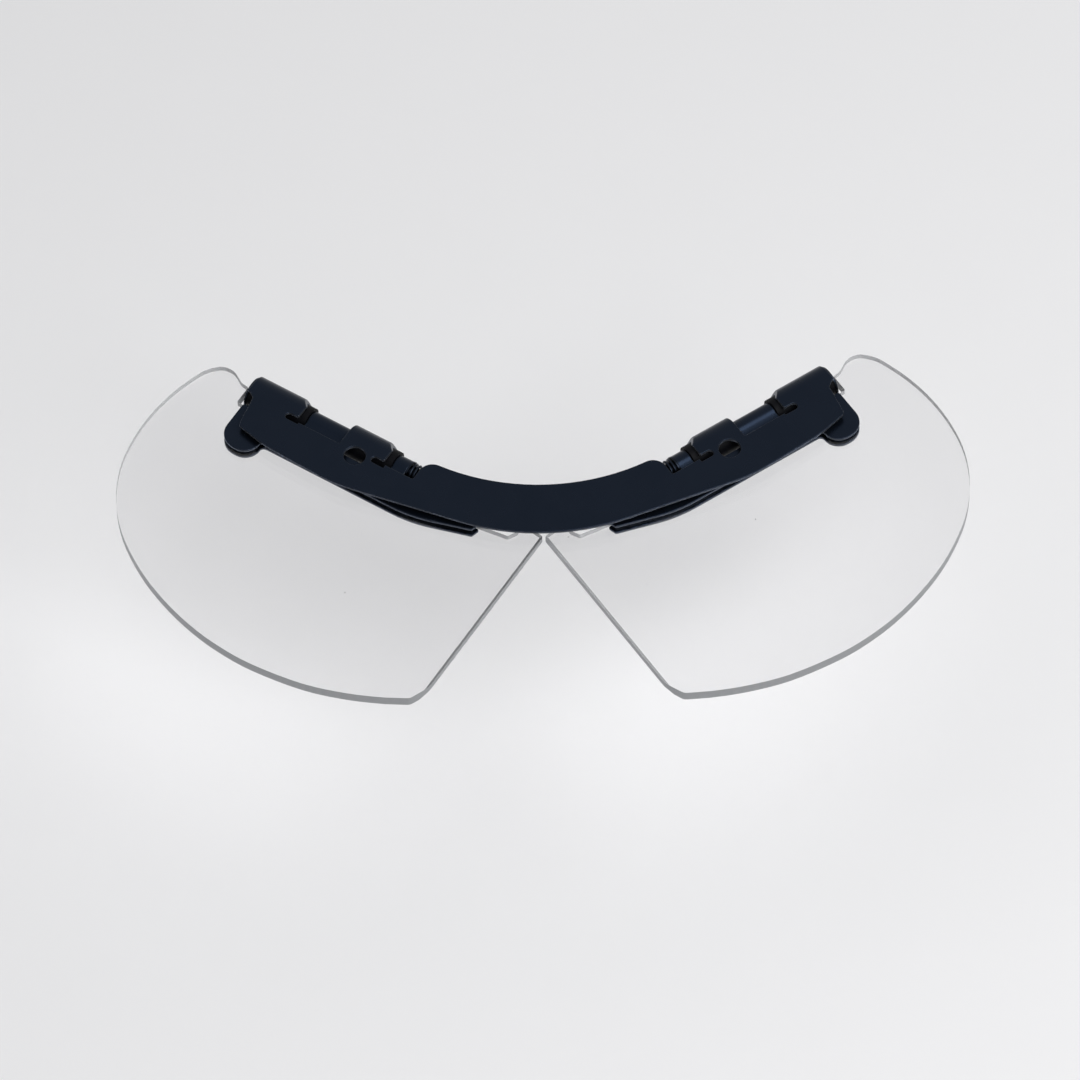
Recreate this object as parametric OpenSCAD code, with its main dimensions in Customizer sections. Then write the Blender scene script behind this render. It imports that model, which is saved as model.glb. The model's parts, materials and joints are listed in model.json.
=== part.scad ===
// Flip-down eye shield for the brim of a helmet: two clear lens halves, each
// riveted into a folded steel clamp that hinges with friction below one bracket.
// The origin is midway between the two screw holes, on the bracket's top face.
// +X is the right of the shield seen from the front, -Y is the front, +Z is up.
//
// Each half is drawn in its own hinge frame: local X runs outwards along the hinge
// axis from the point where the two axes cross, local Y runs to the rear, and
// local Z is 0 on the axis. Outlines are lists of [along, forward, corner radius],
// where forward is the distance in front of the axis.

/* [Hinge layout] */
// Angle between each hinge axis and the left-right line
hinge_angle = 33; // [30:1:36]
// Distance between the two mounting screw holes
hole_spacing = 101.6; // [99:0.2:104]
// Distance of a screw hole in front of its hinge axis
hole_forward = 5.9; // [5.4:0.1:6.2]

/* [Bracket] */
// Thickness of the bracket's steel sheet
bracket_t = 1.0; // [0.8:0.1:1.5]
// Diameter of a mounting screw hole
hole_d = 6.0; // [5:0.1:6.4]
// Radius of the middle of the front edge
front_r = 64; // [45:1:75]
// Where the two straight runs of the front edge would meet, from the crossing of the axes
front_meet = -5.1; // [-6:0.1:-3]
// Radius of the middle of the rear edge
rear_r = 60; // [45:1:70]
// Where the two slopes of the rear edge would meet, from the crossing of the axes
rear_meet = 7.4; // [6:0.1:9]
// Where the front edge turns to run along the axis
front_bend_u = 57; // [54:0.5:62]
// Distance of that turn in front of the axis
front_bend_v = 16.6; // [15.5:0.1:18]
// Radius of that turn
front_bend_r = 50; // [30:1:55]
// Where the front edge turns in to the outer corner, along the axis
front_turn_u = 80; // [76:0.5:84]
// Distance of that turn in front of the axis
front_turn_v = 15.8; // [15:0.1:16.4]
// Outer front corner of the plate, along the axis
end_corner_u = 89.1; // [87:0.1:91]
// Distance of the outer front corner in front of the axis
end_corner_v = 13.9; // [12:0.1:15]
// Side of the cover over the spring, along the axis
cover_u = 39.2; // [38.5:0.1:41]
// How far the cover reaches behind the axis
cover_back = 3.0; // [2.6:0.1:4]
// Radius of the cover's rear corner
cover_r = 4.0; // [1:0.1:4.5]
// Front of the opening beside the cover, in front of the axis
window_v = 4.2; // [3.8:0.1:4.4]
// Rear edge of the plate between the knuckles, in front of the axis
rear_edge_v = 4.7; // [4.5:0.1:5.5]
// Front of the outer knuckle's free end edge, in front of the axis
end_free_v = 2.4; // [1.6:0.1:3]
// How far the plate's end edge is stepped in from the outer knuckle's end
end_step = 2.5; // [1:0.1:3]
// Front of that step, in front of the axis
end_step_v = 4.2; // [3.6:0.1:5]

/* [Bracket knuckles] */
// Inner end of the inner knuckle, along the axis
inner_knuckle_u = 49; // [48:0.1:50]
// Width of the inner knuckle
inner_knuckle_w = 13.5; // [12:0.1:15]
// Inner end of the outer knuckle, along the axis
outer_knuckle_u = 76.6; // [75:0.1:78]
// Width of the outer knuckle
outer_knuckle_w = 16.6; // [15:0.1:17.5]
// How far each knuckle curls on past the lowest point, in degrees
curl_end = 28; // [0:1:40]
// Length of the relief slot at the root of each knuckle
relief_len = 3.4; // [3:0.1:4.6]
// Width of the relief slot
relief_w = 2.1; // [1:0.1:2.2]
// Length along the axis of the slant that cuts off each knuckle's inner rear corner
corner_cut_u = 2.3; // [1:0.1:3]
// Depth of that slant towards the axis
corner_cut_r = 1.9; // [1:0.1:2]

/* [Lens] */
// Thickness of the clear lens sheet
lens_t = 3.2; // [2.8:0.1:3.6]
// Distance of each nose edge from the crossing of the axes
nose_gap = 0.35; // [0.35:0.05:1]
// Leg of the bevel below each nose edge
nose_bevel = 1.3; // [1.3:0.1:1.6]
// Length of the straight nose edge
nose_len = 57.2; // [50:0.2:60]
// How far the round bottom reaches in front of the nose edge's lower end
bottom_reach = 18.7; // [16:0.1:20]
// Air between the pin's head and the upright step in the lens beside it
step_gap = 0.5; // [0.4:0.1:1.5]
// How far the lens reaches outwards past that step
side_reach = 17.7; // [16:0.1:20]

/* [Lens clamp] */
// Thickness of the clamp's steel sheet
clamp_t = 1.0; // [0.8:0.1:1.2]
// Inner end of the clamp's long tail, along the axis
tail_u = 16.9; // [14:0.1:20]
// Inner end of the clamp's inner knuckle, along the axis
clamp_knuckle_u = 43; // [42.6:0.1:44]
// Front edge of the clamp, in front of the axis
clamp_front = 13.6; // [12.6:0.1:14.2]
// Where the clamp's front edge turns in to the tail, along the axis
tail_bend_u = 34.5; // [31:0.5:38]
// Radius of that turn
tail_bend_r = 40; // [20:1:60]
// Outer end of the clamp's ear, along the axis
ear_u = 92.8; // [91:0.1:93.2]
// Front of the clamp's ear, in front of the axis
ear_front = 19.5; // [18:0.1:21]
// Radius of the ear's round end
ear_r = 5.5; // [5:0.1:6]
// Outer radius of the loop that the fold makes round the pin
loop_r = 3.2; // [3:0.05:3.4]

/* [Fasteners and fits] */
// Air between the clamp's upper leaf and the bracket
leaf_gap = 1.4; // [1.2:0.05:1.6]
// Air between the curled knuckles and what swings past them
swing_gap = 0.8; // [0.4:0.1:1]
// Air between a knuckle's outer end and what lies beside it on the pin
side_gap = 0.2; // [0.15:0.05:0.3]
// Air between a knuckle's inner end and the clamp's loop beside it, bridged by the bush
loop_gap = 1.8; // [0.2:0.1:2]
// Radial play of the pin in its bushes and in the clamp
pin_play = 0.05; // [0.02:0.01:0.09]
// Radial play of the bushes in the knuckles
bush_play = 0.05; // [0.02:0.01:0.09]
// Diameter of a rivet's shank
rivet_d = 2.5; // [2:0.1:3]
// Diameter of a rivet's head
rivet_head_d = 3.8; // [3.4:0.1:4]
// Height of a rivet's upper head, which turns under the bracket
rivet_top_h = 0.6; // [0.3:0.05:0.8]
// Height of a rivet's lower head
rivet_low_h = 0.9; // [0.6:0.1:1.2]
// Radial play of a rivet in its holes
rivet_play = 0.05; // [0.02:0.01:0.2]
// From the first rivet to the turn of the tail's front edge
tail_rivet = 4; // [3:0.5:8]
// How much nearer to the axis than the other rivets the first one lies
tail_rivet_back = 1.6; // [1:0.1:1.8]
// From the clamp's inner knuckle end to the second rivet
knuckle_rivet = 1.5; // [1:0.5:4]
// From the third rivet to the bracket's outer knuckle
middle_rivet = 7; // [4:0.5:10]
// From the fourth rivet to the ear's outer end
ear_rivet = 6.5; // [5:0.5:9]
// Play along the pin, at each end of a piece that is stacked on it
end_play = 0.05; // [0.02:0.01:0.1]
// Thickness of the pin's head
pin_head_t = 0.7; // [0.6:0.1:1.2]
// Thickness of the washers on the pin
washer_t = 0.4; // [0.3:0.05:0.6]
// Thickness of the retaining ring
ring_t = 0.6; // [0.4:0.1:0.8]
// Depth of the ring's groove in the pin
groove_depth = 0.35; // [0.25:0.05:0.45]

/* [Friction spring] */
// Diameter of the spring's wire
wire_d = 0.7; // [0.5:0.05:0.7]
// Number of turns of the spring
spring_turns = 4.5; // [3:0.25:4.5]
// Length that the spring takes up on the pin
spring_len = 6.0; // [6:0.1:7]

/* [Hidden] */
$fn = 72;

LEFT = -1;
RIGHT = 1;
STEEL_BLACK = [0.10, 0.13, 0.18];
CLEAR = [0.86, 0.88, 0.90, 0.45];
BLACKENED_STEEL = [0.16, 0.17, 0.19];
NYLON = [0.08, 0.08, 0.09];

// A cut runs this far past the face that it cuts through
past = 1;

// Heights above the hinge axis
leaf_in = lens_t / 2;
leaf_out = leaf_in + clamp_t;
curl_in_r = leaf_out + leaf_gap;
plate_top = curl_in_r + bracket_t;

// Radii about the hinge axis
loop_in_r = loop_r - clamp_t;
pin_r = loop_in_r - pin_play;
bush_r = curl_in_r - bush_play;

// The screw holes set where the axes cross
hole_u = (hole_spacing / 2 - hole_forward * sin(hinge_angle)) / cos(hinge_angle);
hole_back = hole_u * sin(hinge_angle) - hole_forward * cos(hinge_angle);

// What swings past the knuckles is cut back to here
cut_back = plate_top + swing_gap;

// Ends of the knuckles along the axis
inner_knuckle_end = inner_knuckle_u + inner_knuckle_w;
outer_knuckle_end = outer_knuckle_u + outer_knuckle_w;

// Each bush stands out of its knuckle by this much and takes the side thrust
bush_out = side_gap - end_play;
bush_in = loop_gap - end_play;

// The washers reach past the clamp's loop and stay inside the bracket's knuckle
washer_lip = 0.1;
washer_inset = 0.6;

// The pin runs on past the ring, and its ends are chamfered
pin_tail = 1.4;
end_chamfer = 0.3;
head_chamfer = 0.5;

// The pin's inner end carries, from the clamp inwards, a washer, the spring and the ring
washer_r = loop_r + washer_lip;
spring_washer_u = clamp_knuckle_u - end_play - washer_t;
ring_u = spring_washer_u - spring_len - ring_t;
head_washer_r = plate_top - washer_inset;

// The pin's head and its washer lie outside the outer knuckle
head_washer_u = outer_knuckle_end + bush_out;
head_u = head_washer_u + washer_t;
step_u = head_u + pin_head_t + step_gap;

// Reach of the lens along the axis and in front of it
lens_u = step_u + side_reach;
lens_v = nose_len + bottom_reach;

// Places of the rivets as [along, forward], all hidden below the bracket
rivet_v = (cut_back + clamp_front) / 2;
RIVETS = [
    [tail_bend_u - tail_rivet, rivet_v - tail_rivet_back], [clamp_knuckle_u + knuckle_rivet, rivet_v],
    [outer_knuckle_u - middle_rivet, rivet_v], [ear_u - ear_rivet, rivet_v]
];

// Turns a list of [x, y, radius] corners into a closed outline with round corners
function unit(v) = v / norm(v);
function xy(p) = [p[0], p[1]];
function before(pts, i) = pts[(i + len(pts) - 1) % len(pts)];
function after(pts, i) = pts[(i + 1) % len(pts)];
function half_angle(pts, i) =
    let (p = unit(xy(before(pts, i)) - xy(pts[i])), q = unit(xy(after(pts, i)) - xy(pts[i])))
    acos(max(-1, min(1, p * q))) / 2;
function wish(pts, i) = pts[i][2] == 0 ? 0 : pts[i][2] / tan(half_angle(pts, i));
function share(pts, i, j) =
    norm(xy(pts[i]) - xy(pts[j])) * wish(pts, i) / (wish(pts, i) + wish(pts, j));
function trim(pts, i) =
    let (n = len(pts))
    min(wish(pts, i), share(pts, i, (i + n - 1) % n), share(pts, i, (i + 1) % n));
function arc_points(m, a, b, r) =
    let (from = atan2(a[1] - m[1], a[0] - m[0]),
         turn = ((atan2(b[1] - m[1], b[0] - m[0]) - from + 540) % 360) - 180,
         steps = max(1, ceil(abs(turn) / (r > 20 ? 3 : 12))))
    [for (k = [0 : steps]) m + r * [cos(from + turn * k / steps), sin(from + turn * k / steps)]];
function round_corner(pts, i) =
    let (b = xy(pts[i]), p = unit(xy(before(pts, i)) - b), q = unit(xy(after(pts, i)) - b),
         h = half_angle(pts, i), t = trim(pts, i), r = t * tan(h))
    arc_points(b + unit(p + q) * r / sin(h), b + p * t, b + q * t, r);
function rounded(pts) =
    [for (i = [0 : len(pts) - 1]) each (pts[i][2] == 0 ? [xy(pts[i])] : round_corner(pts, i))];

// A smooth curve through a list of points, with n steps between two of them
function curve_point(a, b, c, d, t) =
    0.5 * (2 * b + (c - a) * t + (2 * a - 5 * b + 4 * c - d) * t * t
        + (3 * b - a - 3 * c + d) * t * t * t);
function smooth(pts, n) =
    let (m = len(pts) - 1)
    [for (i = [0 : m - 1], k = [0 : i == m - 1 ? n : n - 1])
        curve_point(pts[max(0, i - 1)], pts[i], pts[i + 1], pts[min(m, i + 2)], k / n)];
function sharp(pts) = [for (p = pts) [p[0], p[1], 0]];

// From a hinge frame's [along, forward] to the bracket's plan, about the crossing
function plan(p) =
    [p[0] * cos(hinge_angle) + p[1] * sin(hinge_angle),
     p[0] * sin(hinge_angle) - p[1] * cos(hinge_angle), p[2]];
function to_left(pts) = [for (i = [len(pts) - 1 : -1 : 0]) [-pts[i][0], pts[i][1], pts[i][2]]];

// Draws in the hinge frame of one side
module hinge_frame() {
    translate([0, -hole_back, -plate_top]) rotate([0, 0, hinge_angle]) children();
}
module on_side(side) {
    if (side > 0) hinge_frame() children();
    else mirror([1, 0, 0]) hinge_frame() children();
}

// Extrudes a profile of [rear, up] along the hinge axis
module along_axis(from, to) {
    translate([from, 0, 0]) rotate([90, 0, 90]) linear_extrude(to - from) children();
}

// Turns a profile of [radius, along] about the hinge axis
module about_axis() {
    rotate([0, 90, 0]) rotate_extrude() children();
}

// Draws an outline of [along, forward] flat in the hinge frame
module forward_outline(pts) {
    polygon([for (p = rounded(pts)) [p[0], -p[1]]]);
}

// Mounting bracket

// The plate's tabs end inside the knuckles that roll down from them, a hair narrower
tab_inset = 0.02;
tab_end = 1;

BRACKET_RIGHT = [
    plan([front_bend_u, front_bend_v, front_bend_r]),
    plan([front_turn_u, front_turn_v, 20]),
    plan([end_corner_u, end_corner_v, 1.2]),
    plan([outer_knuckle_end - end_step, end_step_v, 0.6]),
    plan([outer_knuckle_end - tab_inset, end_free_v, 0.4]),
    plan([outer_knuckle_end - tab_inset, tab_end, 0]),
    plan([outer_knuckle_u + tab_inset, tab_end, 0]),
    plan([outer_knuckle_u + tab_inset, rear_edge_v, 0]),
    plan([inner_knuckle_end - tab_inset, rear_edge_v, 0.5]),
    plan([inner_knuckle_end - tab_inset, tab_end, 0]),
    plan([inner_knuckle_u + tab_inset, tab_end, 0]),
    plan([inner_knuckle_u + tab_inset, window_v, 0]),
    plan([cover_u, window_v, 0.5]),
    plan([cover_u, -cover_back, cover_r])
];

module bracket_outline() {
    polygon(rounded(concat(
        [[0, front_meet, front_r]], BRACKET_RIGHT,
        [[0, rear_meet, rear_r]], to_left(BRACKET_RIGHT))));
}

// A knuckle runs level from the plate and curls back under itself round the axis
module curl_profile() {
    mouth = 2 * plate_top;
    difference() {
        union() {
            circle(r = plate_top);
            translate([-cut_back / 2, curl_in_r]) square([cut_back / 2, bracket_t]);
        }
        circle(r = curl_in_r);
        polygon([
            [0, 0], [0, curl_in_r], [-mouth, curl_in_r], [-mouth, -mouth],
            [-mouth * sin(curl_end), -mouth * cos(curl_end)]
        ]);
        translate([-mouth - cut_back / 2, curl_in_r - past]) square([mouth, mouth]);
        intersection() {
            translate([-mouth, curl_in_r - past]) square([mouth, past]);
            circle(r = plate_top);
        }
    }
}

// Wedge that cuts the inner rear corner off a knuckle, square to the line that rises to
// the rear at corner_rise
corner_rise = 30;
module corner_wedge(u) {
    translate([u, 0, 0]) rotate([corner_rise - 90, 0, 0]) rotate([90, 0, 0])
        linear_extrude(2 * plate_top, center = true)
            polygon([
                [-past, plate_top - corner_cut_r * (1 + past / corner_cut_u)],
                [corner_cut_u * (1 + past / corner_cut_r), plate_top + past],
                [-past, plate_top + past]
            ]);
}

module knuckle(from, to) {
    difference() {
        along_axis(from, to) curl_profile();
        corner_wedge(from);
    }
}

// Slot with one round end along the root of a knuckle
module relief_slot(u, v, length) {
    reach = length - relief_w / 2;
    translate([u, -v, curl_in_r - past]) {
        linear_extrude(bracket_t + 2 * past) {
            translate([-past, -relief_w / 2]) square([reach + past, relief_w]);
            translate([reach, 0]) circle(d = relief_w);
        }
    }
}

module bracket_half(side) {
    on_side(side) {
        knuckle(inner_knuckle_u, inner_knuckle_end);
        knuckle(outer_knuckle_u, outer_knuckle_end);
    }
}

module mounting_bracket() {
    color(STEEL_BLACK) difference() {
        union() {
            hinge_frame() translate([0, 0, curl_in_r])
                linear_extrude(bracket_t) rotate(-hinge_angle) bracket_outline();
            bracket_half(LEFT);
            bracket_half(RIGHT);
        }
        for (side = [LEFT, RIGHT]) {
            translate([side * hole_spacing / 2, 0, -bracket_t - past])
                cylinder(d = hole_d, h = bracket_t + 2 * past);
            on_side(side) {
                relief_slot(inner_knuckle_u, window_v, relief_len);
                relief_slot(outer_knuckle_u, window_v, relief_len);
            }
        }
    }
}

// Lens

// The outer edge from the lower nose corner round to the rear tip, each point a share of
// the lens's reach along the axis and of its reach in front of the axis
OUTER_EDGE = [
    [0.077, 0.872], [0.158, 0.926], [0.265, 0.975], [0.398, 1], [0.495, 0.996],
    [0.583, 0.975], [0.68, 0.9315], [0.773, 0.868], [0.866, 0.7735], [0.932, 0.664],
    [0.975, 0.543], [0.9955, 0.418], [1, 0.286], [0.9895, 0.161], [0.968, 0.051],
    [0.953, 0.008], [0.9345, -0.021]
];

// Tongues in the clamp's knuckles hold the pin in the fold
tongue_gap = 0.15;
tongue_v = pin_r + tongue_gap;

// The rear edge from the clamp's tail to the nose, with a small notch
NOSE_REAR = [[8.6, 4.65, 0.6], [7.2, 2.1, 0.3], [7.3, 0.5, 0.8], [5, -0.8, 1]];

// The rear tip beside the step, as [outwards of the step, forward, radius]
TIP_REAR = [[7.55, -3.35, 5.2], [2.3, -0.1, 3], [0, 0.1, 0.4]];

// The lower nose corner, as [outwards, beyond the nose edge, radius]
NOSE_CORNER = [[0, 0, 6], [2.5, 5.7, 2.5]];

module lens_outline() {
    knuckle_in = inner_knuckle_u - loop_gap;
    middle_in = inner_knuckle_end + side_gap;
    middle_out = outer_knuckle_u - loop_gap;
    forward_outline(concat(
        [for (p = NOSE_CORNER) [nose_gap + p[0], nose_len + p[1], p[2]]],
        sharp(smooth([for (p = OUTER_EDGE) [p[0] * lens_u, p[1] * lens_v]], 4)),
        [for (p = TIP_REAR) [step_u + p[0], p[1], p[2]]],
        [
            [step_u, cut_back, 0.4],
            [middle_out, cut_back, 0.3],
            [middle_out, tongue_v, 0.3],
            [middle_in, tongue_v, 0.3],
            [middle_in, cut_back, 0.3],
            [knuckle_in, cut_back, 0.3],
            [knuckle_in, tongue_v, 0.3],
            [clamp_knuckle_u, tongue_v, 0.3],
            [clamp_knuckle_u, cut_back, 0.3],
            [tail_u, cut_back, 2]
        ],
        NOSE_REAR,
        [[nose_gap, -0.2, 0.8]]));
}

module rivet_holes(height) {
    for (p = RIVETS)
        translate([p[0], -p[1], -height / 2]) cylinder(r = rivet_d / 2 + rivet_play, h = height);
}

module lens(side) {
    color(CLEAR) on_side(side) difference() {
        translate([0, 0, -lens_t / 2]) linear_extrude(lens_t) lens_outline();
        translate([nose_gap, -nose_len / 2, -lens_t / 2])
            rotate([0, 45, 0])
                cube([nose_bevel * sqrt(2), 2 * nose_len, nose_bevel * sqrt(2)], center = true);
        rivet_holes(lens_t + 2 * past);
    }
}

// Lens clamp

// The front corner of the tail's end, as [along, forward, radius] from its rear corner
TAIL_END = [0.8, 2.7, 0.6];

// Both leaves have this outline; the notches let the bracket's knuckles through
module leaf_outline() {
    forward_outline([
        [tail_u, cut_back, 0.5],
        [tail_u + TAIL_END[0], cut_back + TAIL_END[1], TAIL_END[2]],
        [tail_bend_u, clamp_front, tail_bend_r],
        [ear_u - 2 * ear_r, clamp_front, 1.5],
        [ear_u - 2 * ear_r, ear_front, ear_r],
        [ear_u, ear_front, ear_r],
        [ear_u, cut_back, 0.8],
        [outer_knuckle_u - loop_gap, cut_back, 0],
        [outer_knuckle_u - loop_gap, loop_in_r, 0],
        [inner_knuckle_end + side_gap, loop_in_r, 0],
        [inner_knuckle_end + side_gap, cut_back, 0],
        [inner_knuckle_u - loop_gap, cut_back, 0],
        [inner_knuckle_u - loop_gap, loop_in_r, 0],
        [clamp_knuckle_u, loop_in_r, 0],
        [clamp_knuckle_u, cut_back, 0]
    ]);
}

// The sheet runs back level on both faces of the lens and loops round the pin
module fold_profile() {
    difference() {
        union() {
            circle(r = loop_r);
            translate([-cut_back, -leaf_out]) square([cut_back, 2 * leaf_out]);
        }
        circle(r = loop_in_r);
        translate([-cut_back - past, -leaf_in]) square([cut_back + past, 2 * leaf_in]);
    }
}

module lens_clamp(side) {
    color(STEEL_BLACK) on_side(side) difference() {
        union() {
            translate([0, 0, leaf_in]) linear_extrude(clamp_t) leaf_outline();
            translate([0, 0, -leaf_out]) linear_extrude(clamp_t) leaf_outline();
            along_axis(clamp_knuckle_u, inner_knuckle_u - loop_gap) fold_profile();
            along_axis(inner_knuckle_end + side_gap, outer_knuckle_u - loop_gap) fold_profile();
        }
        rivet_holes(2 * leaf_out + 2 * past);
    }
}

// Rivets through the clamp and the lens

// A head is a low dome with a short upright rim
module rivet_head(height) {
    rim = height / 3;
    dome = height - rim;
    flat_r = rivet_head_d / 2;
    dome_r = (flat_r * flat_r + dome * dome) / (2 * dome);
    cylinder(r = flat_r, h = rim);
    translate([0, 0, rim]) intersection() {
        cylinder(r = flat_r, h = dome);
        translate([0, 0, dome - dome_r]) sphere(r = dome_r);
    }
}

module lens_rivets(side) {
    color(STEEL_BLACK) on_side(side) for (p = RIVETS) translate([p[0], -p[1], 0]) {
        translate([0, 0, -leaf_out]) cylinder(d = rivet_d, h = 2 * leaf_out);
        translate([0, 0, leaf_out]) rivet_head(rivet_top_h);
        translate([0, 0, -leaf_out]) rotate([180, 0, 0]) rivet_head(rivet_low_h);
    }
}

// Hinge pin, bushes, washers and ring

module hinge_pin(side) {
    start = ring_u - pin_tail;
    groove = ring_t + 2 * end_play;
    groove_u = ring_u - end_play;
    color(BLACKENED_STEEL) on_side(side) about_axis() polygon([
        [0, start], [pin_r - end_chamfer, start], [pin_r, start + end_chamfer],
        [pin_r, groove_u], [pin_r - groove_depth, groove_u],
        [pin_r - groove_depth, groove_u + groove], [pin_r, groove_u + groove],
        [pin_r, head_u], [loop_r, head_u],
        [loop_r, head_u + pin_head_t / 2], [loop_r - head_chamfer, head_u + pin_head_t],
        [0, head_u + pin_head_t]
    ]);
}

module sleeve(from, to, in_r, out_r) {
    about_axis() translate([in_r, from]) square([out_r - in_r, to - from]);
}

module inner_bush(side) {
    color(NYLON) on_side(side)
        sleeve(inner_knuckle_u - bush_in, inner_knuckle_end + bush_out, loop_in_r, bush_r);
}

module outer_bush(side) {
    color(NYLON) on_side(side)
        sleeve(outer_knuckle_u - bush_in, outer_knuckle_end + bush_out, loop_in_r, bush_r);
}

module head_washer(side) {
    color(BLACKENED_STEEL) on_side(side)
        sleeve(head_washer_u, head_washer_u + washer_t, loop_in_r, head_washer_r);
}

module spring_washer(side) {
    color(BLACKENED_STEEL) on_side(side)
        sleeve(spring_washer_u, spring_washer_u + washer_t, loop_in_r, washer_r);
}

// The ring snaps into the pin's groove through its open side, each edge of which stands
// this far inside the ring's bore
mouth_grip = 0.15;
module retaining_ring(side) {
    hold_r = pin_r - groove_depth + end_play;
    color(BLACKENED_STEEL) on_side(side) along_axis(ring_u, ring_u + ring_t) difference() {
        circle(r = washer_r);
        circle(r = hold_r);
        translate([-washer_r - past, mouth_grip - hold_r])
            square([washer_r + past, 2 * (hold_r - mouth_grip)]);
    }
}

// Friction spring, one open coil of round wire

coil_r = loop_r - wire_d / 2 - end_play;
RINGS_A_TURN = 8;
WIRE_SIDES = 6;
rings = round(RINGS_A_TURN * spring_turns);
pitch = (spring_len - wire_d - 2 * end_play) / spring_turns;

function coil_centre(i) =
    let (a = 360 * i / RINGS_A_TURN)
    [ring_u + ring_t + end_play + wire_d / 2 + pitch * i / RINGS_A_TURN, coil_r * cos(a), coil_r * sin(a)];
function coil_ring(i) =
    let (a = 360 * i / RINGS_A_TURN, out = [0, cos(a), sin(a)],
         ahead = unit([pitch / (2 * PI), -coil_r * sin(a), coil_r * cos(a)]),
         side = cross(ahead, out))
    [for (k = [0 : WIRE_SIDES - 1]) let (b = 360 * k / WIRE_SIDES)
        coil_centre(i) + wire_d / 2 * (cos(b) * out + sin(b) * side)];
function coil_faces() =
    [for (i = [0 : rings - 1], k = [0 : WIRE_SIDES - 1])
        let (a = i * WIRE_SIDES + k, b = i * WIRE_SIDES + (k + 1) % WIRE_SIDES)
        each [[a, b, b + WIRE_SIDES], [a, b + WIRE_SIDES, a + WIRE_SIDES]]];
function coil_caps() =
    [for (k = [1 : WIRE_SIDES - 2]) each [
        [0, k + 1, k],
        [rings * WIRE_SIDES, rings * WIRE_SIDES + k, rings * WIRE_SIDES + k + 1]]];

module tension_spring(side) {
    color(BLACKENED_STEEL) on_side(side) polyhedron(
        points = [for (i = [0 : rings]) each coil_ring(i)],
        faces = concat(coil_faces(), coil_caps()));
}

// The least gap between two turns, measured on the points of the coil
function turn_gaps() =
    [for (i = [0 : rings], j = [0 : rings])
        if (j - i > RINGS_A_TURN / 2) norm(coil_centre(i) - coil_centre(j)) - wire_d];
echo(least_spring_gap = min(turn_gaps()));

mounting_bracket();
lens(LEFT);  // left_lens
lens(RIGHT);  // right_lens
lens_clamp(LEFT);  // left_lens_clamp
lens_clamp(RIGHT);  // right_lens_clamp
lens_rivets(LEFT);  // left_lens_rivets
lens_rivets(RIGHT);  // right_lens_rivets
hinge_pin(LEFT);  // left_hinge_pin
hinge_pin(RIGHT);  // right_hinge_pin
inner_bush(LEFT);  // left_inner_bush
inner_bush(RIGHT);  // right_inner_bush
outer_bush(LEFT);  // left_outer_bush
outer_bush(RIGHT);  // right_outer_bush
head_washer(LEFT);  // left_head_washer
head_washer(RIGHT);  // right_head_washer
spring_washer(LEFT);  // left_spring_washer
spring_washer(RIGHT);  // right_spring_washer
tension_spring(LEFT);  // left_tension_spring
tension_spring(RIGHT);  // right_tension_spring
retaining_ring(LEFT);  // left_retaining_ring
retaining_ring(RIGHT);  // right_retaining_ring
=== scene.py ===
"""The looks of a flip-down eye shield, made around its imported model.

Two clear lens halves hang in folded black steel clamps, and each clamp turns on a friction
hinge below one black steel bracket. All sizes are in metres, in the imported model's frame:
+X is the right of the shield seen from the front, -Y is the front and +Z is up.
"""

import json
import math

import bmesh
import bpy
import numpy as np
from mathutils import Matrix, Vector


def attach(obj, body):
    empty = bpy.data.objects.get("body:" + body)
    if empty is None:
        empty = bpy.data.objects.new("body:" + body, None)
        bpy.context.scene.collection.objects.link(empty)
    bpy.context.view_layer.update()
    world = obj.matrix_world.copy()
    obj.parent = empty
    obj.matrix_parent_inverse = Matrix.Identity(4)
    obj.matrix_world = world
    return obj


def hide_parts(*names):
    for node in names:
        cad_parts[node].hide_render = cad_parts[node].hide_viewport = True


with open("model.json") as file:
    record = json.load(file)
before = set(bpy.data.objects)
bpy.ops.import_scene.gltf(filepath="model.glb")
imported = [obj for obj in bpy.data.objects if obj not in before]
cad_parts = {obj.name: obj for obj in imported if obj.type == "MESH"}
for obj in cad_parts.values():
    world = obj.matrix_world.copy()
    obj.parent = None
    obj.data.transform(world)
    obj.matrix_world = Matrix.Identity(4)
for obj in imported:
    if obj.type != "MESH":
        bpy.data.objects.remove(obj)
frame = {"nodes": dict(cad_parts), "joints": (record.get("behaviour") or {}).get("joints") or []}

bl_info = {
    "name": "Flip-down eye shield",
    "version": (1, 0, 0),
    "blender": (4, 5, 0),
    "location": "3D View > Sidebar > Eye Shield",
    "description": "Builds the looks of a flip-down eye shield around its packed model",
    "category": "Object",
}

SIDES = ("left", "right")

# Corners this near are one, faces that turn by less than FLAT are one, and edges that turn
# by more than SHARP are broken; a lens shades flat from LENS_SHARP on
WELD = 2e-6
FLAT = math.radians(1)
SHARP = math.radians(35)
LENS_SHARP = math.radians(15)

# A face is level where its normal's upright part is over LEVEL, and it is a cut face of a
# flat sheet where that part is under UPRIGHT
LEVEL = 0.9999
UPRIGHT = 0.9

# Steps of a spring's wire in one turn, and the sides of its section
WIRE_STEPS = 24
WIRE_SIDES = 14

# Depth of the relief in the coat and in the other finishes
COAT_RELIEF = 0.00002
FINE_RELIEF = 0.00001

# Colour of the dust on a lens, how well it covers, and the roughness of a full smear
DUST_COLOR = (0.12, 0.12, 0.13)
DUST_COVER = 0.8
SMEAR_ROUGHNESS = 0.02

# The colour sockets of a Mix node: its two inputs and its output
MIX_COLORS_IN = (6, 7)
MIX_COLOR_OUT = 2

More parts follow.
